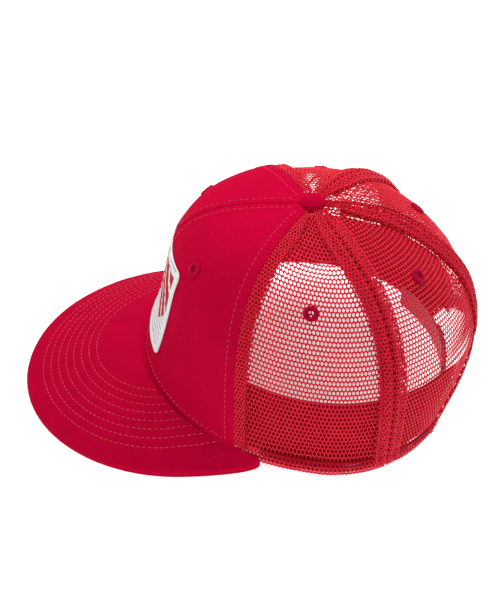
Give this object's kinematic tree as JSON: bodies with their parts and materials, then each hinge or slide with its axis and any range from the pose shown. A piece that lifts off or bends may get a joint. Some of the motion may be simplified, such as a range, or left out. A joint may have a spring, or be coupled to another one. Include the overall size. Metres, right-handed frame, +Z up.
{
  "type": "trucker cap",
  "caption": "Six-panel cap with a stiff cloth front, see-through mesh sides and rear, a wide stitched peak, a covered top button and a snap strap across a rear arch.",
  "frame": {"origin": "centre of the head opening, on the plane the cap rests on", "axes": "+Z up through the crown, -Y towards the peak's tip, +X towards the wearer's left"},
  "size_m": [0.1884, 0.2582, 0.1243],
  "materials": {
    "twill": "matt cotton twill, crimson red",
    "mesh": "knitted polyester net with oval holes, red",
    "mesh_hem": "rolled edge of the same net, red",
    "buckram": "stiffened open-weave backing, red",
    "seam_tape": "woven cotton tape, dark red",
    "sweatband_cloth": "folded cotton sweatband, dark red",
    "foam": "thin padding strip, off-white",
    "thread": "satin-stitched thread rings, red",
    "patch": "embroidered blank patch, white with a plain red band",
    "button_metal": "pressed sheet, bare",
    "board": "flexible sheet stiffener, off-white",
    "under_cloth": "matt cotton twill, crimson red",
    "strap_plastic": "moulded soft plastic, red"
  },
  "bodies": {
    "crown": {"front_panel_left": "twill", "front_panel_right": "twill", "mesh_side_left": "mesh", "mesh_side_right": "mesh", "mesh_rear_left": "mesh", "mesh_rear_right": "mesh", "front_backing_left": "buckram", "front_backing_right": "buckram", "tape_front_centre": "seam_tape", "tape_front_left": "seam_tape", "tape_front_right": "seam_tape", "tape_rear_left": "seam_tape", "tape_rear_right": "seam_tape", "tape_rear_centre": "seam_tape", "sweatband": "sweatband_cloth", "sweatband_foam": "foam", "rim_hem_left": "mesh_hem", "rim_hem_right": "mesh_hem", "arch_binding": "mesh_hem", "eyelets": "thread", "front_emblem": "patch", "button_cover": "twill", "button_shell": "button_metal", "button_prong": "button_metal", "hole_strap_root": "strap_plastic"},
    "peak": {"peak_top_cover": "twill", "peak_board": "board", "peak_under_cover": "under_cloth"},
    "stud_strap": {"stud_strap": "strap_plastic"},
    "hole_strap": {"hole_strap": "strap_plastic"}
  },
  "joints": [
    {"name": "peak_lift", "type": "hinge", "parent": "crown", "child": "peak", "pos_m": [0, -0.031, 0.025], "axis": [-1, 0, 0], "range_deg": [0, 10]},
    {"name": "strap_size", "type": "hinge", "parent": "crown", "child": "stud_strap", "pos_m": [0, -0.0258, 0.0105], "axis": [0, 0, -1], "range_deg": [-14.4, 14.4]},
    {"name": "strap_open", "type": "hinge", "parent": "crown", "child": "hole_strap", "pos_m": [0.0424, 0.06, 0.0105], "axis": [0, 0, -1], "range_deg": [0, 50]}
  ]
}
